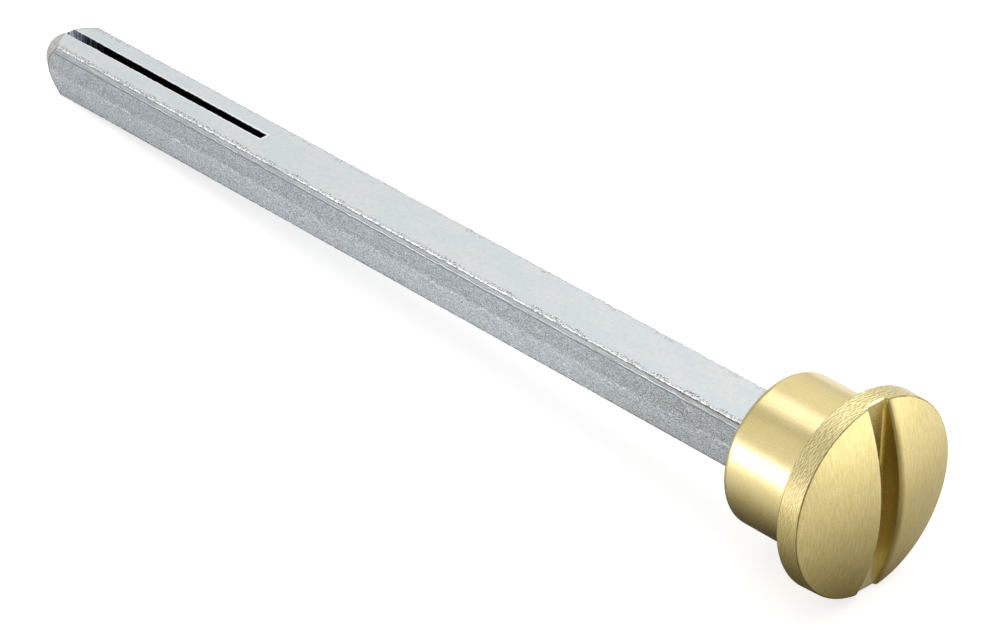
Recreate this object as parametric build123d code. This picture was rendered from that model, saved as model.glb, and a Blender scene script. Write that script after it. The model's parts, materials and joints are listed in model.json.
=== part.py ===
"""Slotted-head release spindle: a split square bar pressed into a turned brass head.

The spindle is drawn along the X axis, with its tip towards -X and the back of its flange at
X = 0. At the end it is laid down as it rests on a table: the bar on its lower flat, with the
tip's lower edge and the flange's back edge touching the surface Z = 0. All sizes are in mm.
"""
from build123d import *
import math
import os

# Square bar, sheared from thick sheet
bar_side = 5.0
bar_reach = 98.3              # from the flange's back face to the end of the flats at the tip
rolled_edge_round = 0.15      # upper long edges, rolled over by the shear
burr_edge_round = 0.06        # lower long edges
smooth_band = 0.7             # height of the burnished band under each upper edge
torn_setback = 0.07           # how far the torn side lies back, just below that band
torn_toe = 0.02               # how far it lies back at the lower edge

# Turned point at the bar's tip
point_half_angle = 34.0
point_end_d = 3.1
point_end_round = 0.4

# Sawn slit that splits the tip
slit_length = 27.0            # from the end of the flats to the root
slit_root_width = 0.78
slit_mouth_width = 0.95
slit_offset = 0.25            # the saw ran this far to the +Y side of the middle

# Head: collar, flange and domed face
collar_d = 13.45
collar_length = 8.1
collar_end_round = 0.65
flange_d = 17.7
flange_thickness = 2.06
flange_draft = 0.09           # the rim's radius falls by this much towards the front
flange_back_round = 0.2
flange_front_round = 0.1
dome_height = 2.05

# Coin slot across the dome
slot_width = 2.05
slot_below_rim = 0.3          # its flat floor lies this far behind the rim's front edge
slot_edge_round = 0.3
slot_turn = -3.0              # degrees about the spindle's axis from upright

# Blind square socket in the collar, and the drilled relief beyond it
socket_depth = 6.6
relief_d = 4.6
relief_length = 0.4
drill_half_angle = 59.0

# Places worked out from the sizes
bar_half = bar_side / 2
collar_r = collar_d / 2
flange_r = flange_d / 2
face_r = flange_r - flange_draft
socket_end_x = -collar_length + socket_depth
slit_root_x = -bar_reach + slit_length
slot_floor_x = flange_thickness - slot_below_rim
dome_top_x = flange_thickness + dome_height
dome_sphere_r = (face_r ** 2 + dome_height ** 2) / (2 * dome_height)


def point_x(radius):
    """Where the turned point has this radius."""
    return -bar_reach + (radius - bar_half) / math.tan(math.radians(point_half_angle))


point_end_x = point_x(point_end_d / 2)


def bar_section():
    """The sheared bar's outline, looking along +X: Y to the left, Z up."""
    band_z = bar_half - smooth_band
    torn_z = band_z - torn_setback
    right_side = [
        (bar_half, bar_half),
        (bar_half, band_z),
        (bar_half - torn_setback, torn_z),
        (bar_half - torn_toe, -bar_half),
    ]
    left_side = [(-y, z) for y, z in reversed(right_side)]
    outline = make_face(Polyline(*right_side, *left_side, close=True))
    upper_corners = outline.vertices().filter_by_position(Axis.Y, bar_half, bar_half)
    outline = fillet(upper_corners, rolled_edge_round)
    lower_corners = outline.vertices().filter_by_position(Axis.Y, -bar_half, -bar_half)
    return fillet(lower_corners, burr_edge_round)


def pointed_blank():
    """A round bar with the turned point, wide enough to hold the square bar."""
    blank_r = bar_side
    outline = make_face(Polyline(
        (point_end_x, 0),
        (point_end_x, point_end_d / 2),
        (point_x(blank_r), blank_r),
        (socket_end_x, blank_r),
        (socket_end_x, 0),
        close=True,
    ))
    end_corner = outline.vertices().filter_by_position(Axis.X, point_end_x, point_end_x)
    outline = fillet(end_corner.sort_by(Axis.Y)[-1], point_end_round)
    return revolve(outline, Axis.X)


def slit_cutter():
    """The saw's path: straight down through the bar, a little wider at the mouth."""
    mouth_x = -bar_reach
    widening = (slit_mouth_width - slit_root_width) / slit_length
    open_x = point_end_x - bar_side
    open_width = slit_mouth_width + widening * (mouth_x - open_x)
    plan = make_face(Polyline(
        (slit_root_x, slit_offset + slit_root_width / 2),
        (open_x, slit_offset + open_width / 2),
        (open_x, slit_offset - open_width / 2),
        (slit_root_x, slit_offset - slit_root_width / 2),
        close=True,
    ))
    return extrude(plan, amount=bar_side, both=True)


def make_bar():
    length = socket_end_x - point_end_x
    square = extrude(Plane.YZ.offset(point_end_x) * bar_section(), amount=length)
    return square & pointed_blank() - slit_cutter()


def head_blank():
    """The head as it leaves the lathe."""
    edge = (flange_thickness, face_r)
    top = (dome_top_x, 0)
    dome_centre_x = dome_top_x - dome_sphere_r
    half_way = math.asin(face_r / dome_sphere_r) / 2
    middle = (
        dome_centre_x + dome_sphere_r * math.cos(half_way),
        dome_sphere_r * math.sin(half_way),
    )
    turned = Polyline(
        top,
        (-collar_length, 0),
        (-collar_length, collar_r),
        (0, collar_r),
        (0, flange_r),
        edge,
    )
    dome = ThreePointArc(edge, middle, top)
    outline = make_face([turned, dome])
    for corner, radius in (
        ((-collar_length, collar_r), collar_end_round),
        ((0, flange_r), flange_back_round),
        (edge, flange_front_round),
    ):
        outline = fillet(outline.vertices().sort_by_distance(corner)[0], radius)
    return revolve(outline, Axis.X)


def slot_channel():
    """The coin slot's straight channel, with its flat floor."""
    depth = dome_top_x - slot_floor_x
    return Pos(slot_floor_x, 0, 0) * Box(
        depth, slot_width, 2 * flange_d, align=(Align.MIN, Align.CENTER, Align.CENTER)
    )


def slot_edge_ring():
    """What rounds both long edges of the slot over into the dome.

    A ball rolled along an edge, touching the wall and the dome, goes round a line through the
    sphere's centre. So the rounding is one section, revolved about that line.
    """
    ball_y = slot_width / 2 + slot_edge_round
    ball_reach = dome_sphere_r - slot_edge_round
    ball_x = math.sqrt(ball_reach ** 2 - ball_y ** 2)
    to_dome = dome_sphere_r / ball_reach
    on_wall = (ball_x, slot_width / 2)
    on_dome = (ball_x * to_dome, ball_y * to_dome)
    middle_angle = (math.atan2(ball_y, ball_x) - math.pi / 2) / 2
    on_round = (
        ball_x + slot_edge_round * math.cos(middle_angle),
        ball_y + slot_edge_round * math.sin(middle_angle),
    )
    outside_x = dome_sphere_r + slot_width
    rounding = ThreePointArc(on_wall, on_round, on_dome)
    rest = Polyline(on_dome, (outside_x, on_dome[1]), (outside_x, 0), (ball_x, 0), on_wall)
    one_side = make_face([rounding, rest])
    section = one_side + mirror(one_side, about=Plane.XZ)
    front_half = revolve(Rot(0, -90, 0) * section, Axis.Y, 180)
    return Pos(dome_top_x - dome_sphere_r, 0, 0) * front_half


def socket_cutter():
    """The square hole that the bar is pressed into, size for size, and its drilled relief."""
    square = Pos(-collar_length, 0, 0) * Box(
        socket_depth, bar_side, bar_side, align=(Align.MIN, Align.CENTER, Align.CENTER)
    )
    relief_r = relief_d / 2
    relief_end_x = socket_end_x + relief_length
    drill_tip_x = relief_end_x + relief_r / math.tan(math.radians(drill_half_angle))
    drilled = make_face(Polyline(
        (socket_end_x, 0),
        (socket_end_x, relief_r),
        (relief_end_x, relief_r),
        (drill_tip_x, 0),
        close=True,
    ))
    return square + revolve(drilled, Axis.X)


def make_head():
    slotted = head_blank() - slot_channel() - slot_edge_ring()
    return Rot(slot_turn, 0, 0) * slotted - socket_cutter()


def laid_down(pieces):
    """Tip the spindle until the tip and the flange touch the table, and centre it there."""
    slit_side = max(slit_mouth_width / 2 - abs(slit_offset), 0)
    tip_contact_x = point_x(math.hypot(bar_half, slit_side))
    tip_contact_z = -bar_half
    draft_angle = math.atan2(flange_draft, flange_thickness)
    rim_round_fall = flange_back_round * (math.tan(draft_angle) + 1 / math.cos(draft_angle))
    rim_round_z = rim_round_fall - flange_r
    run = flange_back_round - tip_contact_x
    drop = tip_contact_z - rim_round_z
    tilt = math.atan2(drop, run) + math.asin(flange_back_round / math.hypot(run, drop))
    tipped = Rot(0, -math.degrees(tilt), 0)
    box = Compound([tipped * piece for piece in pieces.values()]).bounding_box()
    place = Pos(-box.center().X, -box.center().Y, -box.min.Z) * tipped
    return {name: place * piece for name, piece in pieces.items()}


pieces = laid_down({
    "spindle_bar": make_bar(),
    "slotted_head": make_head(),
})

os.makedirs("parts", exist_ok=True)
for name, piece in pieces.items():
    export_step(piece, f"parts/{name}.step")
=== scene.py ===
import bpy
import json
import math
import numpy as np
from mathutils import Matrix, Vector
from types import SimpleNamespace


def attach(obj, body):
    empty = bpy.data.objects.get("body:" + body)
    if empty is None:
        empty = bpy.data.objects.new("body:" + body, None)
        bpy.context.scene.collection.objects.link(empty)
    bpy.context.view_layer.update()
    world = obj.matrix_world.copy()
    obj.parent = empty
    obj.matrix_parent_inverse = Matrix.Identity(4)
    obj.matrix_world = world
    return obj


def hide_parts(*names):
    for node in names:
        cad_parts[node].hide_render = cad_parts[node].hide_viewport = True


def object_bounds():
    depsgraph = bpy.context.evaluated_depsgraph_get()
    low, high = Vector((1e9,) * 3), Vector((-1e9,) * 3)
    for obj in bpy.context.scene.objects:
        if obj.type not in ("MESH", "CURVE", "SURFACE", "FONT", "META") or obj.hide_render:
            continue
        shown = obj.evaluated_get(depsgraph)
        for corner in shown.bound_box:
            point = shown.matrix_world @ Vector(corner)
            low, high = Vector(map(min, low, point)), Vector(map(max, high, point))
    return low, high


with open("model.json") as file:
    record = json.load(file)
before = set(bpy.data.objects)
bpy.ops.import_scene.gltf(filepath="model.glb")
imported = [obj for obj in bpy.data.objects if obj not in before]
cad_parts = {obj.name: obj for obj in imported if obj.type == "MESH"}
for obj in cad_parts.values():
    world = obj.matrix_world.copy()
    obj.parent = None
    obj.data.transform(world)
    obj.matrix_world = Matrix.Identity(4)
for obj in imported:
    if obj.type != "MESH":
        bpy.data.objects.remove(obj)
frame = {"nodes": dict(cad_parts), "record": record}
cad_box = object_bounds()

MM = 0.001

# The spindle's own frame, read from the mounts: its axis, and the middle of its flange seat
mounts = {mount["name"]: mount for mount in frame["record"]["mounts"]}
along = -Vector(mounts["collar_journal"]["axis"]).normalized()
journal = Vector(mounts["collar_journal"]["pos_m"])
seat = journal + along * (Vector(mounts["flange_seat"]["pos_m"]) - journal).dot(along)
tilt = math.asin(along.z)
spindle = Matrix.Translation(seat) @ Matrix.Rotation(-tilt, 4, "Y")

# The bar, in the spindle's own millimetres: X from the tip to the flange's back face at 0
BAR_SIDE = 5.0
BAR_HALF = BAR_SIDE / 2
BAR_REACH = 98.3
BURR_ROUND = 0.06
SMOOTH_BAND = 0.7
BAND_FOOT_Z = BAR_HALF - SMOOTH_BAND
TORN_SETBACK = 0.07
TORN_TOE = 0.02
POINT_HALF_ANGLE = math.radians(34.0)
POINT_END_R = 1.55
POINT_END_ROUND = 0.4
SLIT_LENGTH = 27.0
SLIT_ROOT_X = -BAR_REACH + SLIT_LENGTH
SLIT_ROOT_WIDTH = 0.78
SLIT_MOUTH_WIDTH = 0.95
SLIT_OFFSET = 0.25

# The head, in the same millimetres
COLLAR_LENGTH = 8.1
SOCKET_DEPTH = 6.6
SOCKET_MOUTH_X = -COLLAR_LENGTH
SOCKET_END_X = SOCKET_MOUTH_X + SOCKET_DEPTH
FLANGE_THICKNESS = 2.06
FACE_R = 8.76
DOME_EDGE_R = FACE_R - 0.09          # where the rounding at the dome's edge begins
DOME_HEIGHT = 2.05
DOME_SPHERE_R = (FACE_R ** 2 + DOME_HEIGHT ** 2) / (2 * DOME_HEIGHT)
DOME_CENTRE_X = FLANGE_THICKNESS + DOME_HEIGHT - DOME_SPHERE_R
SLOT_HALF = 1.025
SLOT_EDGE_ROUND = 0.3
SLOT_FLOOR_X = FLANGE_THICKNESS - 0.3
SLOT_TURN = math.radians(-3.0)
BRUSH_TURN = math.radians(-5.0)

# The photograph's view, fitted in units of the bar's side
FOCAL_PX = 4964
PHOTO_WIDTH_PX = 1000
SENSOR_MM = 36.0
CAMERA_PLACE = Vector((43.978, -47.493, 44.646)) * BAR_SIDE * MM
CAMERA_RIGHT = Vector((0.68403, 0.72908, -0.02328))
CAMERA_UP = Vector((-0.37985, 0.38326, 0.84192))
CAMERA_BACK = Vector((0.62275, -0.56706, 0.53910))


def make_camera():
    data = bpy.data.cameras.new("camera")
    data.sensor_width = SENSOR_MM
    data.lens = FOCAL_PX * SENSOR_MM / PHOTO_WIDTH_PX
    data.clip_start = 0.01
    data.clip_end = 20
    camera = bpy.data.objects.new("camera", data)
    bpy.context.scene.collection.objects.link(camera)
    turn = Matrix((CAMERA_RIGHT, CAMERA_UP, CAMERA_BACK)).transposed().to_4x4()
    camera.matrix_world = spindle @ Matrix.Translation(CAMERA_PLACE) @ turn
    bpy.context.scene.camera = camera


# Relief of the sheared bar
SHEAR_SEED = 41
SLICE = 0.125                # distance between cross sections where the bar shows
BLANK_SPARE = 4              # how far the blank reaches past the end of the flats
PLAIN_LENGTH = 0.3           # of the bar in front of the collar, without relief
FADE_LENGTH = 1.5            # over which the relief comes in
NEAR_NICKS = 1.0             # share of the nicks' full depth, along each edge
FAR_NICKS = 0.25
NICK_DEPTH = 0.032
NICK_REACH = 0.3             # how far they reach into the top face
TOP_GAP = 0.01               # between the top face and the rolled edge's first flat
EDGE_RAGGED = 0.016          # relief of the rolled edge
EDGE_DENT = 0.03             # its largest dent
BAND_DROP = 0.03             # from the rolled edge down to the top of the smooth band
JAG = 0.024                  # how far the smooth band's foot wanders
HOLLOW_DRIFT = 0.004         # how much the band's hollow varies along the bar, slowly
HOLLOW_WAVE = 0.003          # and quickly
HOLLOW_MOST = 0.05
LIP_SETBACK = 0.003          # of the band's foot
TORN_STEP = 0.06             # height of the step from the smooth band to the torn zone
TORN_RANGE = (0.002, 0.14)   # how far the torn zone may lie back
GRAIN_DEPTH = 0.007          # of the torn zone
LEDGE_Z = -0.35              # a faint ledge along the torn zone
LEDGE_HALF = 0.04            # half its height
LEDGE_ROOM = 0.1             # above and below it before the next lanes
LEDGE_DEPTH = 0.004
LANES_ABOVE = 13             # of the torn zone, above the ledge and below it
LANES_BELOW = 15
CHIP_DEPTH = 0.02            # of the chips in the lower edge
SHARP_ANGLE = math.radians(35)

# The skin's lanes: how far out they run on the top and the bottom, and how far out and how
# high on the flats of the rolled edges
TOP_Y = (0, 0.5, 1.0, 1.35, 1.6, 1.8, 1.92, 2.02, 2.12, 2.2, 2.28)
BOTTOM_Y = (2.3, 2.1, 1.7, 1.1, 0.5, 0)
NEAR_EDGE = ((2.43, 2.5), (2.47, 2.489), (2.5, 2.435))
FAR_EDGE = ((2.42, 2.5), (2.46, 2.485), (2.5, 2.41))

# The smooth band's hollow: a share of its height from the top down, and the depth there
BAND_HOLLOW = ((0.05, 0.016), (0.16, 0.03), (0.4, 0.034), (0.66, 0.034), (0.85, 0.031), (0.94, 0.018))


def wander(rng, count, grain):
    """A random line of unit spread that changes over about `grain` samples."""
    window = np.hanning(2 * round(grain) + 3)[1:-1]
    window /= np.sqrt((window ** 2).sum())
    return np.convolve(rng.normal(size=count + len(window) - 1), window, "valid")


def rough_field(rng, lanes, count, grain):
    """Random lines for neighbouring lanes, blended across so that the grains are round."""
    lines = np.array([wander(rng, count, grain) for _ in range(lanes + 2)])
    return 0.5 * lines[:-2] + 0.7 * lines[1:-1] + 0.5 * lines[2:]


def nicked_top(rng, fade, nicks, flat_edge):
    """The top face, with nicks that run in from its edge. Also returns their depth."""
    count = len(fade)
    depth = NICK_DEPTH * nicks * fade * np.clip(wander(rng, count, 1) - 0.15, 0, 2.2)
    reach = NICK_REACH * (0.55 + 0.45 * np.tanh(wander(rng, count, 2)))
    lanes = []
    for y in (*TOP_Y, flat_edge):
        near = np.clip(1 - (flat_edge - y) / np.maximum(reach, 0.02), 0, 1)
        lanes.append((y, BAR_HALF - depth * near))
    return lanes, depth


def rolled_edge(rng, fade, nick_depth, edge_flats):
    """The rolled edge: two narrow flats, the lower one nearly upright."""
    ragged = EDGE_RAGGED * fade * rough_field(rng, len(edge_flats), len(fade), 1)
    lanes = []
    for (y, z), lift in zip(edge_flats, ragged):
        dent = np.clip(lift, -EDGE_DENT, EDGE_DENT) - 0.5 * nick_depth
        lanes.append((np.minimum(y + 0.4 * dent, BAR_HALF), np.minimum(z + dent, BAR_HALF)))
    return lanes


def smooth_band(rng, fade, top):
    """The hollow smooth band, with a lip that leans out at its foot. Also returns the foot."""
    count = len(fade)
    jagged = 0.7 * wander(rng, count, 6) + 0.5 * wander(rng, count, 2)
    foot = BAND_FOOT_Z + fade * JAG * np.clip(jagged, -2.2, 2.2)
    drift = HOLLOW_DRIFT * wander(rng, count, 30)
    lanes = []
    for share, hollow in BAND_HOLLOW:
        wave = drift + HOLLOW_WAVE * wander(rng, count, 2)
        setback = fade * np.clip(hollow + wave, 0, HOLLOW_MOST)
        lanes.append((BAR_HALF - setback, top + share * (foot - top)))
    lanes.append((BAR_HALF - LIP_SETBACK, foot))
    return lanes, foot


def torn_zone(rng, fade, band_foot):
    """The step under the smooth band, and the torn zone with its faint ledge."""
    count = len(fade)
    top = band_foot - TORN_STEP
    foot = -BAR_HALF + BURR_ROUND
    ledge = LEDGE_Z + 0.05 * wander(rng, count, 25) + 0.02 * wander(rng, count, 3)
    ledge_depth = LEDGE_DEPTH * np.clip(0.8 + 0.6 * wander(rng, count, 10), 0, 1.7)
    last_above = ledge + LEDGE_ROOM
    first_below = ledge - LEDGE_ROOM
    above = [top + share * (last_above - top) for share in np.linspace(0, 1, LANES_ABOVE + 1)[1:]]
    above.append(ledge + LEDGE_HALF)
    below = [ledge - LEDGE_HALF]
    below += [first_below + share * (foot - first_below) for share in np.linspace(0, 1, LANES_BELOW)]
    heights = above + below
    grain = rough_field(rng, len(heights), count, 1)
    coarse = rough_field(rng, len(heights), count, 4)
    lanes = [(BAR_HALF - 0.6 * TORN_SETBACK, band_foot - TORN_STEP / 2), (BAR_HALF - TORN_SETBACK, top)]
    for row, z in enumerate(heights):
        share = (top - z) / (top - foot)
        setback = TORN_SETBACK + share * (TORN_TOE - TORN_SETBACK)
        hold = fade * np.clip(4 * (1 - share), 0, 1)
        dig = GRAIN_DEPTH * (0.9 * grain[row] + 0.15 * coarse[row])
        if row < len(above):
            dig = dig + ledge_depth
        lanes.append((BAR_HALF - np.clip(setback + hold * dig, *TORN_RANGE), z))
    return lanes


def bottom(rng, fade):
    """The lower edge with its small burr, and the bottom face."""
    chips = CHIP_DEPTH * fade * np.clip(wander(rng, len(fade), 1) - 0.6, 0, 2)
    out = BURR_ROUND - chips
    centre_y = BAR_HALF - TORN_TOE - BURR_ROUND
    centre_z = -BAR_HALF + BURR_ROUND
    lanes = []
    for angle in (-35, -90):
        turn = math.radians(angle)
        lanes.append((centre_y + out * math.cos(turn), centre_z + out * math.sin(turn)))
    return lanes + [(y, -BAR_HALF) for y in BOTTOM_Y]


def sheared_half(rng, stations, nicks, edge_flats):
    """Half of the bar's skin, from the middle of its top to the middle of its bottom.

    It is made of lanes that run along the bar. Each says how far out to the side it lies, and
    how high. Returns (lanes, stations, 2).
    """
    fade = np.clip((SOCKET_MOUTH_X - PLAIN_LENGTH - stations) / FADE_LENGTH, 0, 1)
    top, nick_depth = nicked_top(rng, fade, nicks, edge_flats[0][0] - TOP_GAP)
    edge = rolled_edge(rng, fade, nick_depth, edge_flats)
    band, band_foot = smooth_band(rng, fade, edge_flats[-1][1] - BAND_DROP)
    torn = torn_zone(rng, fade, band_foot)
    lanes = top + edge + band + torn + bottom(rng, fade)
    return np.array([np.stack(np.broadcast_arrays(y, z, fade)[:2], -1) for y, z in lanes])


def mesh_object(name, points, faces):
    mesh = bpy.data.meshes.new(name)
    mesh.from_pydata([tuple(point) for point in points], [], faces)
    mesh.validate()
    thing = bpy.data.objects.new(name, mesh)
    bpy.context.scene.collection.objects.link(thing)
    return thing


def tube(name, rings):
    """A closed skin through the rings, an array (rings, points round, 3), with flat ends."""
    count, around = rings.shape[:2]
    last = (count - 1) * around
    faces = []
    for ring in range(0, last, around):
        for i in range(around):
            after = (i + 1) % around
            faces.append((ring + i, ring + after, ring + around + after, ring + around + i))
    faces.append(tuple(range(around))[::-1])
    faces.append(tuple(range(last, last + around)))
    return mesh_object(name, rings.reshape(-1, 3), faces)


def sheared_blank(rng):
    """The whole bar as sheared, before its tip is turned and split."""
    shown = np.arange(-BAR_REACH - BLANK_SPARE, SOCKET_MOUTH_X, SLICE)
    stations = np.concatenate([shown, np.linspace(SOCKET_MOUTH_X, SOCKET_END_X, 5)])
    near = sheared_half(rng, stations, NEAR_NICKS, NEAR_EDGE)
    far = sheared_half(rng, stations, FAR_NICKS, FAR_EDGE)
    near[..., 0] *= -1
    ring = np.concatenate([near, far[-2:0:-1]])
    rings = np.empty((len(stations), len(ring), 3))
    rings[..., 0] = stations[:, None]
    rings[..., 1:] = ring.transpose(1, 0, 2)
    return tube("sheared_bar", rings)


# The turned point's tool marks, and the blank that leaves them
POINT_MARK_STEP = 0.09
POINT_MARK_DEPTH = 0.008
POINT_CONE_LENGTH = 5.5
POINT_END_RINGS = (0.02, 0.8)
POINT_ROUND_STEPS = 6
POINT_FACETS = 256


def turned_point(rng):
    """A round blank that leaves the turned point, with its tool marks."""
    point_end_x = -BAR_REACH + (POINT_END_R - BAR_HALF) / math.tan(POINT_HALF_ANGLE)
    start = np.array((point_end_x, POINT_END_R))
    slope = np.array((math.cos(POINT_HALF_ANGLE), math.sin(POINT_HALF_ANGLE)))
    outward = np.array((-slope[1], slope[0]))
    trim = POINT_END_ROUND * math.tan((math.pi / 2 - POINT_HALF_ANGLE) / 2)
    centre = np.array((point_end_x + POINT_END_ROUND, POINT_END_R - trim))
    profile = [(point_end_x, radius) for radius in (*POINT_END_RINGS, POINT_END_R - trim)]
    for turn in np.linspace(math.pi, math.pi / 2 + POINT_HALF_ANGLE, POINT_ROUND_STEPS + 1)[1:]:
        profile.append(tuple(centre + POINT_END_ROUND * np.array((math.cos(turn), math.sin(turn)))))
    along_cone = np.arange(trim + 0.1, POINT_CONE_LENGTH, POINT_MARK_STEP)
    marks = POINT_MARK_DEPTH * np.clip(rng.normal(size=len(along_cone)), -1.8, 0.2)
    for distance, mark in zip(along_cone, marks):
        profile.append(tuple(start + slope * distance + outward * mark))
    profile.append((SOCKET_END_X + 1, profile[-1][1]))
    around = np.linspace(0, 2 * math.pi, POINT_FACETS + 1)[:-1]
    rings = np.array([[(x, r * math.cos(a), r * math.sin(a)) for a in around] for x, r in profile])
    return tube("point_blank", rings)


# The saw's path through the tip
SAW_STEP = 0.1
SAW_SPARE_X = 6              # how far the path reaches past the end of the flats
SAW_SPARE_Z = 0.5            # and past the top and the bottom
SAW_MARKS = 0.012            # how far the walls' marks reach, and their slower waves
SAW_WAVES = 0.008
SLIT_BEVEL = 0.055           # at the slit's top and bottom edges


def saw_path(rng):
    """What the saw takes out of the tip: wavy walls, and a small bevel at the top and bottom."""
    stations = np.arange(SLIT_ROOT_X, -BAR_REACH - SAW_SPARE_X, -SAW_STEP)
    widening = (SLIT_MOUTH_WIDTH - SLIT_ROOT_WIDTH) * (SLIT_ROOT_X - stations) / SLIT_LENGTH
    count = len(stations)
    walls = []
    for side in (1, -1):
        marks = SAW_MARKS * wander(rng, count, 1) + SAW_WAVES * wander(rng, count, 8)
        walls.append((side, SLIT_OFFSET + side * ((SLIT_ROOT_WIDTH + widening) / 2 + marks)))
    levels = (
        (-BAR_HALF - SAW_SPARE_Z, SAW_SPARE_Z + SLIT_BEVEL),
        (-BAR_HALF + SLIT_BEVEL, 0),
        (BAR_HALF - SLIT_BEVEL, 0),
        (BAR_HALF + SAW_SPARE_Z, SAW_SPARE_Z + SLIT_BEVEL),
    )
    rings = []
    for z, grow in levels:
        x = stations.copy()
        x[0] += grow
        left, right = (np.stack([x, y + side * grow, np.full(len(x), z)], -1) for side, y in walls)
        rings.append(np.concatenate([left, right[::-1]]))
    return tube("saw_path", np.array(rings))


def cut(piece, tool, operation):
    change = piece.modifiers.new("cut", "BOOLEAN")
    change.object = tool
    change.operation = operation
    change.solver = "MANIFOLD"
    bpy.context.view_layer.update()
    depsgraph = bpy.context.evaluated_depsgraph_get()
    result = bpy.data.meshes.new_from_object(piece.evaluated_get(depsgraph))
    piece.modifiers.remove(change)
    piece.data = result
    bpy.data.objects.remove(tool)


def make_bar(material):
    rng = np.random.default_rng(SHEAR_SEED)
    bar = sheared_blank(rng)
    cut(bar, turned_point(rng), "INTERSECT")
    cut(bar, saw_path(rng), "DIFFERENCE")
    bar.data.transform(spindle @ Matrix.Diagonal((MM, MM, MM, 1)))
    bar.data.materials.clear()
    bar.data.materials.append(material)
    bar.data.shade_smooth()
    bar.data.set_sharp_from_angle(angle=SHARP_ANGLE)
    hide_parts("spindle_bar")
    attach(bar, "root")


class Shader:
    """Builds one material. A value may be a number, a colour or another node's output."""

    def __init__(self, name):
        self.material = bpy.data.materials.new(name)
        self.material.use_nodes = True
        self.tree = self.material.node_tree
        self.surface = self.tree.nodes["Principled BSDF"]

    def set(self, node, key, value):
        if isinstance(value, bpy.types.NodeSocket):
            self.tree.links.new(value, node.inputs[key])
        else:
            node.inputs[key].default_value = value

    def node(self, kind, settings=None, **inputs):
        node = self.tree.nodes.new("ShaderNode" + kind)
        for key, value in (settings or {}).items():
            setattr(node, key, value)
        for key, value in inputs.items():
            self.set(node, key.replace("_", " "), value)
        return node

    def paint(self, **inputs):
        """Give the surface these inputs, and return the finished material."""
        for key, value in inputs.items():
            self.set(self.surface, key.replace("_", " "), value)
        return self.material

    def math(self, operation, *values, clamp=False):
        node = self.node("Math", {"operation": operation, "use_clamp": clamp})
        for place, value in enumerate(values):
            self.set(node, place, value)
        return node.outputs[0]

    def add(self, total, *others):
        for other in others:
            total = self.math("ADD", total, other)
        return total

    def times(self, product, *others):
        for other in others:
            product = self.math("MULTIPLY", product, other)
        return product

    def less(self, a, b):
        """a minus b."""
        return self.math("SUBTRACT", a, b)

    def apart(self, a, b):
        """How far apart two numbers are."""
        return self.math("ABSOLUTE", self.less(a, b))

    def length(self, a, b):
        """The length of the diagonal of a by b."""
        return self.math("SQRT", self.add(self.times(a, a), self.times(b, b)))

    def ramp(self, value, low, high, to_low=0.0, to_high=1.0):
        """A smooth step: to_low where the value is at low, and to_high where it is at high."""
        node = self.node(
            "MapRange", {"interpolation_type": "SMOOTHSTEP"},
            Value=value, From_Min=low, From_Max=high, To_Min=to_low, To_Max=to_high,
        )
        return node.outputs[0]

    def between(self, value, start, full, fade, end):
        """Rises from 0 at start to 1 at full, and falls from 1 at fade to 0 at end."""
        return self.times(self.ramp(value, start, full), self.ramp(value, end, fade))

    def mix(self, share, a, b):
        """From colour a to colour b."""
        node = self.node("Mix", {"data_type": "RGBA"})
        self.set(node, 0, share)
        for place, colour in ((6, a), (7, b)):
            if not isinstance(colour, bpy.types.NodeSocket):
                colour = (*colour, 1)
            self.set(node, place, colour)
        return node.outputs[2]

    def blend(self, share, a, b):
        """From number a to number b."""
        node = self.node("Mix", {"data_type": "FLOAT"})
        for place, value in ((0, share), (2, a), (3, b)):
            self.set(node, place, value)
        return node.outputs[0]

    def scaled(self, vector, x, y, z):
        node = self.node("VectorMath", {"operation": "MULTIPLY"})
        self.set(node, 0, vector)
        self.set(node, 1, (x, y, z))
        return node.outputs[0]

    def noise(self, vector, size=1.0, detail=2.0, rough=0.5):
        """Noise from about 0 to 1, whose grains are about this size in the vector's units."""
        node = self.node("TexNoise", Vector=vector, Scale=1 / size, Detail=detail, Roughness=rough)
        return node.outputs[0]

    def spindle_mm(self, turn=0.0):
        """The place on the object in the spindle's own millimetres, turned about its axis."""
        place = self.node("TexCoord").outputs["Object"]
        place = self.node(
            "Mapping", {"vector_type": "TEXTURE"},
            Vector=place, Location=seat, Rotation=(0, -tilt, 0), Scale=(MM, MM, MM),
        ).outputs[0]
        if turn:
            turned = self.node("Mapping", {"vector_type": "TEXTURE"}, Vector=place, Rotation=(turn, 0, 0))
            place = turned.outputs[0]
        return place

    def split(self, vector):
        return self.node("SeparateXYZ", Vector=vector).outputs

    def joined(self, x, y, z):
        return self.node("CombineXYZ", X=x, Y=y, Z=z).outputs[0]

    def bump(self, height, depth):
        """Fine relief: a height from 0 to 1 that stands for this depth in millimetres."""
        return self.node("Bump", Height=height, Strength=1.0, Distance=depth * MM).outputs[0]


# Brass: each finish's two tones, what marks it, and the light and shade painted on it
COLLAR_TONES = (0.84, 0.695, 0.31), (0.87, 0.72, 0.335)
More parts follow.
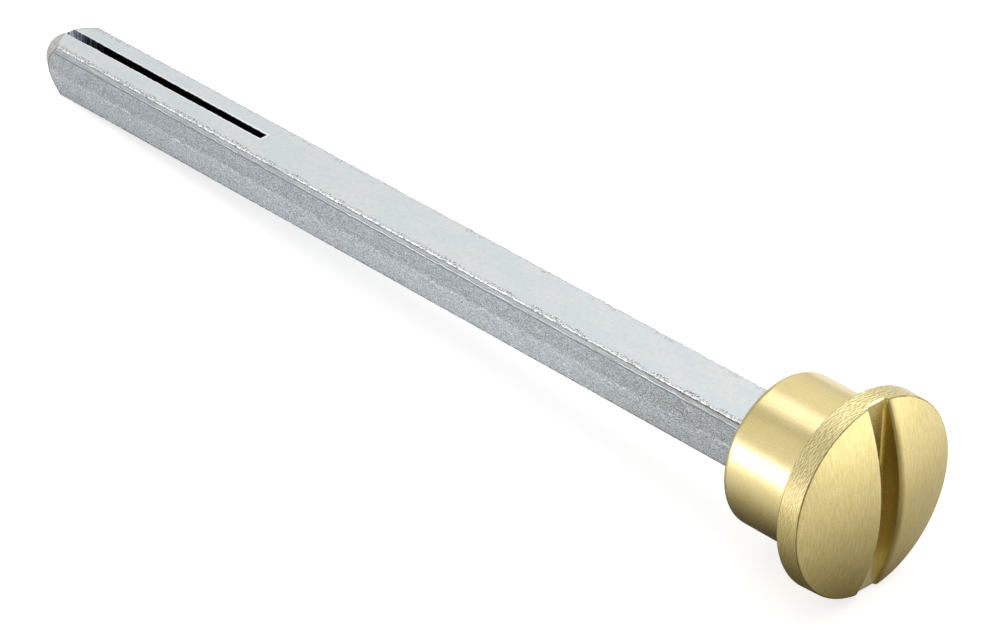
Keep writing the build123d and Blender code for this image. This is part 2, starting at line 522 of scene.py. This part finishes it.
# Painted shade on the collar's rounded end
COLLAR_END_SHADE = (0.60, 0.485, 0.15)
DOME_TONES = (0.76, 0.63, 0.265), (0.88, 0.737, 0.352)
DOME_STROKE = (0.52, 0.41, 0.13)
DOME_STRIP_SHADE = (0.30, 0.225, 0.055)
DOME_EDGE_HIGHLIGHT = (0.98, 0.90, 0.62)
RIM_TONES = (0.60, 0.48, 0.165), (1.0, 0.885, 0.50)
RIM_STROKE = (0.44, 0.335, 0.095)
RIM_SHADE = (0.34, 0.25, 0.06)
WALL_TONES = (0.66, 0.53, 0.18), (0.99, 0.81, 0.31)
WALL_UPPER_SHADE = (0.50, 0.39, 0.09)
WALL_LOWER_LIGHT = (1.0, 0.86, 0.42)
SLOT_FLOOR_SHADE_TO_LIGHT = (0.36, 0.28, 0.07), (0.72, 0.585, 0.22)
SLOT_FLOOR_LOWER_LIGHT = (0.60, 0.515, 0.26)
SLOT_FLOOR_END_HIGHLIGHT = (1.0, 0.92, 0.58)
# Painted glint along the slot's far foot and corner
SLOT_GLINT = (1.0, 0.90, 0.50)
DARK_BRASS = (0.20, 0.145, 0.03)
BRASS_RELIEF = 0.008                 # depth of the finest relief, in millimetres


def head_places(s):
    """Where a point of the head is, and in which of its finishes, each from 0 to 1."""
    at = SimpleNamespace()
    at.mm = s.spindle_mm()
    at.x, at.y, at.z = s.split(at.mm)
    _, at.slot_y, at.slot_z = s.split(s.spindle_mm(SLOT_TURN))
    at.radius = s.length(at.y, at.z)
    at.angle = s.math("ARCTAN2", at.z, at.y)
    at.collar_end = s.ramp(at.x, SOCKET_MOUTH_X + 0.55, SOCKET_MOUTH_X + 0.30)
    at.in_front = s.ramp(at.x, -0.05, 0.02)
    at.rim = s.times(at.in_front, s.ramp(at.radius, DOME_EDGE_R - 0.12, DOME_EDGE_R + 0.05))
    at.dome = s.times(
        s.ramp(at.x, FLANGE_THICKNESS - 0.06, FLANGE_THICKNESS + 0.04),
        s.ramp(at.radius, DOME_EDGE_R + 0.03, DOME_EDGE_R - 0.05),
    )
    at.in_slot = s.times(
        s.ramp(s.math("ABSOLUTE", at.slot_y), SLOT_HALF + 0.02, SLOT_HALF - 0.02),
        s.ramp(at.x, SLOT_FLOOR_X - 0.16, SLOT_FLOOR_X - 0.06),
    )
    at.on_floor = s.times(at.in_slot, s.ramp(at.x, SLOT_FLOOR_X + 0.04, SLOT_FLOOR_X + 0.01))
    return at


def add_brush_lines(s, at):
    """Brush lines: straight on the dome, slanting round the rim, turned on the collar."""
    brushed = s.spindle_mm(BRUSH_TURN)
    at.dome_lines = s.noise(s.scaled(brushed, 1.5, 11.5, 1.2), 1.0, 2.0, 0.6)
    at.dome_fine = s.noise(s.scaled(brushed, 3.0, 13.0, 6.0), 1.0, 2.0, 0.6)

    # The rim's strokes are what differs between two noises side by side, so they have no blotches
    slanted = s.add(at.x, s.times(at.angle, 0.9))
    stroke = s.times(slanted, 8.2)
    around = s.times(at.angle, 23.0)
    at.rim_height = s.noise(s.joined(stroke, around, at.radius), 1.0, 0.0, 0.5)
    beside = s.noise(s.joined(s.add(stroke, 0.6), around, at.radius), 1.0, 0.0, 0.5)
    at.rim_lines = s.less(at.rim_height, beside)
    fine = s.joined(s.times(slanted, 9.0), s.times(at.angle, 40.0), at.radius)
    at.rim_fine = s.noise(fine, 1.0, 1.0, 0.5)

    turned = s.joined(s.times(at.x, 0.7), s.times(at.angle, 36.0), s.times(at.radius, 2.0))
    at.polish = s.noise(turned, 1.0, 2.0, 0.6)
    at.speck = s.noise(at.mm, 0.14, 3.0, 0.7)
    at.patch = s.noise(at.mm, 2.5, 2.0, 0.5)


def collar_tone(s, at):
    """The collar and the flange's back, with painted shade on the collar's rounded end."""
    tone = s.mix(s.ramp(at.patch, 0.35, 0.65), *COLLAR_TONES)
    return s.mix(s.times(at.collar_end, 0.8), tone, COLLAR_END_SHADE)


def dome_tone(s, at):
    """The dome: brushed, with painted shade in a band beyond the slot's rounded far edge."""
    tone = s.mix(s.ramp(at.dome_lines, 0.35, 0.65), *DOME_TONES)
    tone = s.mix(s.ramp(at.dome_fine, 0.41, 0.31, 0.0, 0.6), tone, DOME_STROKE)
    # Painted shade beside the slot's far edge, fainter low down the slot
    painted_shade_band = s.times(
        s.ramp(at.slot_y, SLOT_HALF - 0.125, SLOT_HALF - 0.025),
        s.ramp(at.slot_y, SLOT_HALF + 0.725, SLOT_HALF + 0.075),
        s.ramp(at.slot_z, -7.0, -2.0, 0.3, 0.85),
    )
    return s.mix(painted_shade_band, tone, DOME_STRIP_SHADE)


def rim_tone(s, at):
    """The flange's rim: pale and dark strokes, and painted shade low on its near side."""
    tone = s.mix(s.ramp(at.rim_lines, -0.22, 0.22), *RIM_TONES)
    tone = s.mix(s.ramp(at.rim_fine, 0.40, 0.28, 0.0, 0.5), tone, RIM_STROKE)
    low_near_shade = s.times(s.ramp(at.z, 6.8, 3.5, 0.0, 0.65), s.ramp(at.y, 0.0, -3.0))
    return s.mix(low_near_shade, tone, RIM_SHADE)


def slot_wall_tone(s, at):
    """The slot's walls: painted shade high up under the dome, painted light low down, and a painted glint
    along the far foot.
    """
    tone = s.mix(s.ramp(at.speck, 0.40, 0.60), *WALL_TONES)
    below_dome = s.less(DOME_SPHERE_R, s.length(s.less(at.x, DOME_CENTRE_X), at.radius))
    # Painted shade near the top of the walls, and painted light low down
    tone = s.mix(s.ramp(below_dome, 1.1, 0.5, 0.0, 0.7), tone, WALL_UPPER_SHADE)
    tone = s.mix(s.ramp(at.slot_z, 0.5, -7.0, 0.0, 0.6), tone, WALL_LOWER_LIGHT)
    foot = s.times(
        s.ramp(at.x, SLOT_FLOOR_X + 0.11, SLOT_FLOOR_X + 0.05),
        s.ramp(at.slot_y, SLOT_HALF - 0.125, SLOT_HALF - 0.025),
        s.ramp(at.slot_z, 2.0, 3.0),
    )
    return s.mix(foot, tone, SLOT_GLINT)


def slot_floor_tone(s, at):
    """The slot's floor: specked, with painted shade in its middle, painted light lower down, a painted
    highlight at both ends, and a painted glint along its far corner.
    """
    tone = s.mix(s.ramp(at.slot_z, 3.0, 8.6), *SLOT_FLOOR_SHADE_TO_LIGHT)
    tone = s.mix(s.ramp(at.slot_z, 4.2, -1.0), tone, SLOT_FLOOR_LOWER_LIGHT)
    specks = s.times(
        s.ramp(at.speck, 0.50, 0.40, 0.0, 0.6),
        s.ramp(at.slot_z, 8.4, 6.5, 0.35, 1.0),
        s.ramp(at.slot_z, 2.2, 3.4, 0.3, 1.0),
    )
    tone = s.mix(specks, tone, DARK_BRASS)
    corner = s.times(
        s.ramp(at.slot_y, SLOT_HALF - 0.20, SLOT_HALF - 0.10),
        s.ramp(at.slot_z, 8.2, 7.2, 0.3, 1.0),
        s.ramp(at.slot_z, 2.0, 3.0),
    )
    tone = s.mix(corner, tone, SLOT_GLINT)
    # Painted highlight at both ends of the slot's floor
    ends = s.math("MAXIMUM", s.ramp(at.slot_z, 8.48, 8.60), s.ramp(at.slot_z, -5.2, -6.6))
    return s.mix(ends, tone, SLOT_FLOOR_END_HIGHLIGHT)


def brass_colour(s, at):
    colour = s.mix(at.dome, collar_tone(s, at), dome_tone(s, at))
    colour = s.mix(at.rim, colour, rim_tone(s, at))
    colour = s.mix(at.in_slot, colour, slot_wall_tone(s, at))
    colour = s.mix(at.on_floor, colour, slot_floor_tone(s, at))

    # A dark line round the dome, and a painted highlight along the slot's near edge
    border = s.times(
        s.between(at.radius, FACE_R - 0.13, FACE_R - 0.08, FACE_R - 0.04, FACE_R),
        s.ramp(at.x, FLANGE_THICKNESS - 0.13, FLANGE_THICKNESS - 0.08),
        s.ramp(at.patch, 0.3, 0.6, 0.45, 0.85),
    )
    colour = s.mix(border, colour, DARK_BRASS)
    from_edge = s.apart(at.slot_y, -SLOT_HALF - SLOT_EDGE_ROUND)
    # The pale burr line below is a painted highlight along the slot's near edge
    burr = s.times(at.dome, s.ramp(from_edge, 0.10, 0.03), s.ramp(at.slot_z, -4.0, 3.0, 0.0, 0.45))
    return s.mix(burr, colour, DOME_EDGE_HIGHLIGHT)


def make_brass():
    s = Shader("satin_brass")
    at = head_places(s)
    add_brush_lines(s, at)

    rough = s.blend(at.collar_end, s.ramp(at.polish, 0.35, 0.65, 0.26, 0.30), 0.55)
    rough = s.blend(at.in_front, rough, 0.4)
    rough = s.blend(at.dome, rough, s.ramp(at.dome_fine, 0.3, 0.7, 0.38, 0.46))
    rough = s.blend(at.rim, rough, s.ramp(at.rim_fine, 0.3, 0.7, 0.36, 0.46))
    rough = s.blend(at.in_slot, rough, 0.46)

    dome_relief = s.add(s.times(at.dome_lines, 1.3), s.times(at.dome_fine, 0.9))
    rim_relief = s.add(s.times(at.rim_height, 2.4), s.times(at.rim_fine, 0.9))
    relief = s.blend(at.dome, s.times(at.polish, 0.02), dome_relief)
    relief = s.blend(at.rim, relief, rim_relief)
    relief = s.blend(at.in_slot, relief, s.times(at.speck, 0.8))

    # The coat is clear lacquer
    return s.paint(
        Base_Color=brass_colour(s, at),
        Roughness=rough,
        Metallic=1.0,
        Coat_Weight=0.25,
        Coat_Roughness=0.25,
        Normal=s.bump(relief, BRASS_RELIEF),
    )


# Zinc: each surface's two tones, what marks it, and the light and shade painted on it
TOP_TONES = (0.71, 0.77, 0.783), (0.765, 0.795, 0.778)
TOP_MOTTLE = (0.66, 0.713, 0.716)
TOP_GRAIN_GLINTS = (0.86, 0.885, 0.87)
TOP_PITS = (0.42, 0.42, 0.42)
TOP_CHIP_GLINTS_AND_PITS = (1.0, 1.0, 1.0), (0.24, 0.215, 0.20)
TORN_TONES = (0.415, 0.441, 0.432), (0.68, 0.718, 0.692)
TORN_LOW_TONES = (0.56, 0.60, 0.585), (0.84, 0.882, 0.855)
TORN_LEDGE_HIGHLIGHT = (0.95, 1.0, 0.94)
TORN_GLINTS = (0.98, 1.0, 0.96)
TORN_PITS = (0.22, 0.23, 0.23)
TORN_BITES = (0.24, 0.21, 0.19)
BAND_TONES = (0.705, 0.776, 0.776), (0.95, 1.0, 0.985)
BAND_PITS = (0.42, 0.45, 0.46)
BAND_LIP_SHADE = (0.395, 0.442, 0.388)
STEP_SHADE = (0.27, 0.255, 0.25)
EDGE_TONE_AND_NEAR_HIGHLIGHT = (0.66, 0.69, 0.68), (0.88, 0.91, 0.88)
EDGE_CHIPS = (0.38, 0.35, 0.32)
POINT_TONES = (0.56, 0.525, 0.49), (0.90, 0.88, 0.86)
POINT_MARKS = (0.42, 0.38, 0.35)
POINT_BORDER = (0.30, 0.27, 0.25)
SLIT_EDGE_HIGHLIGHT = (0.97, 0.99, 0.99)
SAW_TONES = (0.08, 0.10, 0.14), (0.80, 0.88, 0.98)
SLIT_PAINTED_SHADE = (0.012, 0.013, 0.016)
ZINC_RELIEF = 0.028                  # depth of the finest relief, in millimetres


def bar_places(s):
    """Where a point of the bar is, and on which of its surfaces, each from 0 to 1."""
    at = SimpleNamespace()
    at.mm = s.spindle_mm()
    at.x, at.y, at.z = s.split(at.mm)
    at.out_y = s.math("ABSOLUTE", at.y)
    at.near_side = s.ramp(at.y, 0.1, -0.1)
    at.side = s.ramp(at.out_y, BAR_HALF - 0.14, BAR_HALF - 0.10)
    at.band = s.times(
        at.side,
        s.ramp(at.out_y, BAR_HALF - 0.06, BAR_HALF - 0.05),
        s.ramp(at.z, BAND_FOOT_Z - 0.30, BAND_FOOT_Z - 0.25),
    )
    at.step = s.times(
        at.side,
        s.ramp(at.out_y, BAR_HALF - 0.025, BAR_HALF - 0.045),
        s.between(at.z, BAND_FOOT_Z - 0.30, BAND_FOOT_Z - 0.18, BAND_FOOT_Z + 0.15, BAND_FOOT_Z + 0.20),
    )
    at.edge = s.times(
        s.ramp(at.out_y, BAR_HALF - 0.20, BAR_HALF - 0.12),
        s.ramp(at.z, BAR_HALF - 0.26, BAR_HALF - 0.20),
    )
    slope = math.tan(POINT_HALF_ANGLE)
    cone_r = s.add(s.times(at.x, slope), BAR_HALF + BAR_REACH * slope)
    beyond_cone = s.less(s.length(at.y, at.z), cone_r)
    at.point = s.ramp(beyond_cone, -0.05, -0.02)
    at.point_border = s.times(s.ramp(beyond_cone, -0.20, -0.07), s.ramp(at.point, 0.9, 0.1))
    from_slit = s.apart(at.y, SLIT_OFFSET)
    mouth_half = SLIT_MOUTH_WIDTH / 2
    at.sawn = s.times(
        s.ramp(from_slit, mouth_half + 0.085, mouth_half + 0.045),
        s.ramp(s.math("ABSOLUTE", at.z), BAR_HALF - 0.03, BAR_HALF - 0.06),
        s.ramp(at.x, SLIT_ROOT_X + 0.20, SLIT_ROOT_X + 0.05),
    )
    at.slit_edge = s.times(
        s.ramp(from_slit, mouth_half + 0.145, mouth_half + 0.065),
        s.ramp(at.x, SLIT_ROOT_X + 0.30, SLIT_ROOT_X + 0.15),
        s.ramp(at.z, BAR_HALF - 0.08, BAR_HALF - 0.03),
    )
    return at


def add_bar_grains(s, at):
    fine = s.scaled(at.mm, 0.6, 1.0, 1.0)
    at.grain = s.noise(fine, 0.08, 2.0, 0.6)
    at.speck = s.noise(fine, 0.09, 2.0, 0.6)
    at.mottle = s.noise(at.mm, 0.5, 4.0, 0.6)
    at.blotch = s.noise(s.scaled(at.mm, 0.25, 0.6, 1.0), 1.0, 3.0, 0.55)
    at.patch = s.noise(s.scaled(at.mm, 0.6, 0.1, 0.1), 1.0, 2.0, 0.6)
    at.chips = s.noise(s.scaled(at.mm, 8.0, 4.0, 4.0), 1.0, 2.0, 0.6)
    at.streak = s.noise(s.scaled(at.mm, 0.35, 3.0, 5.0), 1.0, 3.0, 0.6)
    at.scratch = s.noise(s.scaled(at.mm, 0.5, 6.0, 9.0), 1.0, 3.0, 0.6)
    at.drag = s.noise(s.scaled(at.mm, 4.0, 4.0, 0.9), 1.0, 3.0, 0.6)
    at.saw_lines = s.noise(s.scaled(at.mm, 7.0, 1.0, 0.35), 1.0, 2.0, 0.6)


def top_tone(s, at):
    """The top: pale, with warm stains, fine pits and glints painted on its grain."""
    tone = s.mix(s.ramp(at.blotch, 0.42, 0.62), *TOP_TONES)
    tone = s.mix(s.ramp(at.mottle, 0.4, 0.65, 0.0, 0.6), tone, TOP_MOTTLE)
    tone = s.mix(s.ramp(at.grain, 0.42, 0.62, 0.0, 0.3), tone, TOP_GRAIN_GLINTS)
    tone = s.mix(s.ramp(at.speck, 0.38, 0.30, 0.0, 0.5), tone, TOP_PITS)

    # Pale chips, which are painted highlights, and dark chips, all along the near edge and in places
    # along the far one
    chipped = s.blend(
        at.near_side,
        s.ramp(at.patch, 0.50, 0.62, 0.0, 0.5),
        s.ramp(at.patch, 0.36, 0.56, 0.35, 1.0),
    )
    chip_reach = s.add(at.out_y, s.times(at.chips, 0.3), s.times(at.patch, 0.6))
    chipped = s.times(chipped, s.ramp(chip_reach, BAR_HALF - 0.06, BAR_HALF + 0.14))
    chip_glint, dark = TOP_CHIP_GLINTS_AND_PITS
    tone = s.mix(s.times(chipped, s.ramp(at.chips, 0.47, 0.38)), tone, chip_glint)
    return s.mix(s.times(chipped, s.ramp(at.chips, 0.49, 0.56, 0.0, 0.95)), tone, dark)


def torn_tone(s, at):
    """The torn zone: paler below a faint ledge, with a painted highlight along the ledge, painted glints,
    pits, and bitten at its foot.
    """
    grainy = s.ramp(at.grain, 0.36, 0.64)
    is_low = s.ramp(s.add(at.z, s.times(at.streak, 0.4)), 0.2, -0.4)
    tone = s.mix(is_low, s.mix(grainy, *TORN_TONES), s.mix(grainy, *TORN_LOW_TONES))
    from_ledge = s.apart(s.add(at.z, s.times(at.streak, 0.5)), LEDGE_Z + 0.2)
    ledge = s.times(s.ramp(from_ledge, 0.14, 0.02), s.ramp(s.add(at.grain, at.patch), 0.75, 1.1))
    # Painted highlight along the ledge
    tone = s.mix(s.times(ledge, 0.35), tone, TORN_LEDGE_HIGHLIGHT)
    tone = s.mix(s.ramp(at.speck, 0.58, 0.64), tone, TORN_GLINTS)
    tone = s.mix(s.ramp(at.speck, 0.40, 0.33, 0.0, 0.8), tone, TORN_PITS)
    at_foot = s.ramp(s.add(at.z, s.times(at.chips, 0.3)), -BAR_HALF + 0.35, -BAR_HALF + 0.22)
    bitten = s.times(at_foot, s.ramp(at.speck, 0.54, 0.44))
    return s.mix(s.times(bitten, 0.8), tone, TORN_BITES)


def band_tone(s, at):
    """The smooth band: scratched along, with painted shade on its lip, which dims the light that the lip
    catches.
    """
    tone = s.mix(s.ramp(at.scratch, 0.40, 0.58), *BAND_TONES)
    tone = s.mix(s.ramp(at.grain, 0.46, 0.34, 0.0, 0.6), tone, BAND_PITS)
    lip = s.times(
        s.ramp(at.z, BAND_FOOT_Z + 0.12, BAND_FOOT_Z + 0.07),
        s.ramp(at.patch, 0.32, 0.5, 0.8, 1.0),
    )
    return s.mix(lip, tone, BAND_LIP_SHADE)


def edge_tone(s, at):
    """The rolled edge: a painted highlight on the near side, with brown chips."""
    tone = s.mix(at.near_side, *EDGE_TONE_AND_NEAR_HIGHLIGHT)
    return s.mix(s.ramp(at.chips, 0.50, 0.58, 0.0, 0.9), tone, EDGE_CHIPS)


def point_tone(s, at):
    """The turned point: brownish, with dark tool marks."""
    tone = s.mix(s.ramp(at.grain, 0.38, 0.62), *POINT_TONES)
    return s.mix(s.ramp(at.drag, 0.52, 0.62, 0.0, 0.8), tone, POINT_MARKS)


def saw_tone(s, at):
    """The slit's walls: saw lines near its mouth, and painted shade further in."""
    tone = s.mix(s.ramp(at.saw_lines, 0.42, 0.58), *SAW_TONES)
    return s.mix(s.ramp(at.x, -BAR_REACH - 0.7, -BAR_REACH + 4.8), tone, SLIT_PAINTED_SHADE)


def zinc_colour(s, at):
    colour = s.mix(at.side, top_tone(s, at), torn_tone(s, at))
    colour = s.mix(at.band, colour, band_tone(s, at))
    colour = s.mix(s.times(at.step, s.ramp(at.grain, 0.35, 0.6, 0.2, 0.8)), colour, STEP_SHADE)
    colour = s.mix(at.edge, colour, edge_tone(s, at))
    colour = s.mix(at.point, colour, point_tone(s, at))
    colour = s.mix(s.times(at.point_border, s.ramp(at.grain, 0.4, 0.6, 0.3, 0.9)), colour, POINT_BORDER)
    # A painted highlight along the slit's top edges
    colour = s.mix(at.slit_edge, colour, SLIT_EDGE_HIGHLIGHT)
    return s.mix(at.sawn, colour, saw_tone(s, at))


def make_zinc():
    s = Shader("zinc_plated_steel")
    at = bar_places(s)
    add_bar_grains(s, at)

    top_rough = s.ramp(at.mottle, 0.3, 0.7, 0.34, 0.42)
    side_rough = s.ramp(at.grain, 0.3, 0.7, 0.38, 0.5)
    rough = s.blend(at.side, top_rough, side_rough)
    rough = s.blend(at.band, rough, 0.3)
    rough = s.blend(at.point, rough, 0.5)

    side_relief = s.add(at.grain, s.times(at.speck, 0.8))
    relief = s.blend(at.side, s.times(at.mottle, 0.15), side_relief)
    relief = s.blend(at.band, relief, s.times(at.streak, 0.3))
    relief = s.blend(at.edge, relief, at.drag)

    return s.paint(
        Base_Color=zinc_colour(s, at),
        Roughness=rough,
        Metallic=1.0,
        Specular_IOR_Level=0.5,
        Normal=s.bump(relief, ZINC_RELIEF),
    )


# Light: soft panels that face the spindle
LAMP_DISTANCE = 0.7
LAMP_AIM = Vector((0.03, 0, 0.005))
LOW_CARD_PLACE = Vector((-0.045, -0.09, 0.018))
LOW_CARD_SIZE = (0.17, 0.036)
COOL = (0.94, 0.98, 1.28)            # makes the gold's highlights whiter
WHITE = (1, 1, 1)
WORLD_LIGHT = (0.48, 0.48, 0.48, 1)


def place_panel(name, place, facing_from, size, radiance, card, colour):
    """A card only shows in what is shiny, and lights nothing else."""
    data = bpy.data.lights.new(name, "AREA")
    data.color = colour
    data.shape = "RECTANGLE"
    data.size, data.size_y = size
    data.energy = math.pi * data.size * data.size_y * radiance
    panel = bpy.data.objects.new(name, data)
    bpy.context.scene.collection.objects.link(panel)
    panel.location = place
    panel.rotation_euler = facing_from.to_track_quat("Z", "Y").to_euler()
    panel.visible_camera = False
    panel.visible_diffuse = not card


def make_lamp(name, azimuth, elevation, wide, high, radiance, card=False, colour=WHITE):
    """A panel seen from the spindle in this direction and over these angles, in degrees."""
    turn, rise = math.radians(azimuth), math.radians(elevation)
    toward = Vector((
        math.cos(turn) * math.cos(rise),
        math.sin(turn) * math.cos(rise),
        math.sin(rise),
    ))
    size = [2 * LAMP_DISTANCE * math.tan(math.radians(angle / 2)) for angle in (wide, high)]
    place_panel(name, LAMP_AIM + toward * LAMP_DISTANCE, toward, size, radiance, card, colour)


def make_light():
    # Each lamp's azimuth, elevation, width, height and radiance
    make_lamp("key", 172, 50, 22, 14, 1.35, colour=COOL)
    make_lamp("left", -134, 33, 34, 30, 0.36)
    make_lamp("back_left", 134, 27, 40, 40, 0.38)
    make_lamp("over_left", 180, 75, 40, 40, 0.35)
    make_lamp("over_back", 100, 62, 44, 36, 1.6)
    make_lamp("right_card", 34, 9, 80, 14, 2.5, card=True)
    place_panel("low_card", LOW_CARD_PLACE, Vector((0, -1, 0)), LOW_CARD_SIZE, 2.8, True, COOL)
    world = bpy.data.worlds.new("world")
    bpy.context.scene.world = world
    world.use_nodes = True
    world.node_tree.nodes["Background"].inputs["Color"].default_value = WORLD_LIGHT
    bpy.context.scene.view_settings.view_transform = "Standard"


# The floor, in metres. Beyond its colour it glows, in one way for the camera and in another
# for the metal that mirrors it. The metal also sees painted shadows of the head on it, tinted
# with painted warm light from the brass
FLOOR_HALF = 3.0
FLOOR_COLOUR = 0.62
FLOOR_WHITE = 0.72                   # the glow that the camera sees
FLOOR_GLOW = 0.55                    # the glow that metal sees
GLOW_REACH = 0.045                   # metal sees the full glow this far from the spindle's line
# The shades below are painted shadows on the floor, which only the metal sees
HEAD_SHADE = (0.026, 0.045)          # along the spindle, the part of the floor shaded by the head
HEAD_SHADE_Y = -0.005
HEAD_SHADE_FROM = -0.004
HEAD_SHADE_TO = 0.015
HEAD_SHADE_LEFT = 0.2                # share of the light that is left in it
FACE_SHADE_X = 0.056                 # a fainter shade before the head's face
FACE_SHADE_Y = 0.008
FACE_SHADE_FROM = 0.010
FACE_SHADE_TO = 0.032
FACE_SHADE_LEFT = 0.76
AHEAD_FROM = 0.055                   # before the head, metal sees the floor's glow fall off
AHEAD_TO = 0.11
AHEAD_LEFT = 0.6
# Painted warm light, as if bounced from the brass, on the floor's painted shadows
WARM_BOUNCE_LIGHT = (1.0, 0.88, 0.55)       # the floor close to the brass, as the brass sees it


def away_from_line(s, x, y, start, end):
    """The distance on the floor from the line between two places on the X axis."""
    beyond = s.math("MAXIMUM", s.math("MAXIMUM", s.less(start, x), s.less(x, end)), 0.0)
    return s.length(beyond, y)


def make_pale_floor():
    s = Shader("pale_floor")
    ray = s.node("LightPath").outputs
    in_mirror = ray["Is Glossy Ray"]
    seen = s.math("ADD", ray["Is Camera Ray"], ray["Is Transmission Ray"], clamp=True)
    x, y, _ = s.split(s.node("TexCoord").outputs["Object"])

    from_spindle = away_from_line(s, x, y, cad_box[0].x, cad_box[1].x)
    from_head = away_from_line(s, x, s.less(y, HEAD_SHADE_Y), *HEAD_SHADE)
    from_face = away_from_line(s, x, s.less(y, FACE_SHADE_Y), FACE_SHADE_X, FACE_SHADE_X)
    open_floor = s.times(
        s.ramp(from_head, HEAD_SHADE_FROM, HEAD_SHADE_TO, HEAD_SHADE_LEFT),
        s.ramp(from_face, FACE_SHADE_FROM, FACE_SHADE_TO, FACE_SHADE_LEFT),
    )
    # Painted shadows of the head on the floor, seen only in the metal, and tinted warm
    shaded = s.times(in_mirror, s.less(1.0, open_floor))
    in_metal = s.times(
        in_mirror,
        s.ramp(from_spindle, 0.0, GLOW_REACH),
        open_floor,
        s.ramp(x, AHEAD_FROM, AHEAD_TO, 1.0, AHEAD_LEFT),
    )
    tint = s.mix(shaded, WHITE, WARM_BOUNCE_LIGHT)
    return s.paint(
        Base_Color=s.mix(s.times(s.less(1.0, shaded), FLOOR_COLOUR), (0, 0, 0), tint),
        Roughness=0.9,
        Specular_IOR_Level=0.0,
        Emission_Color=tint,
        Emission_Strength=s.add(s.times(seen, FLOOR_WHITE), s.times(in_metal, FLOOR_GLOW)),
    )


def make_floor():
    corners = [(-FLOOR_HALF, -FLOOR_HALF, 0), (FLOOR_HALF, -FLOOR_HALF, 0)]
    corners += [(FLOOR_HALF, FLOOR_HALF, 0), (-FLOOR_HALF, FLOOR_HALF, 0)]
    floor = mesh_object("floor", corners, [(0, 1, 2, 3)])
    floor.data.materials.append(make_pale_floor())


make_camera()
make_light()
make_floor()
make_bar(make_zinc())
head = frame["nodes"]["slotted_head"]
head.data.materials.clear()
head.data.materials.append(make_brass())
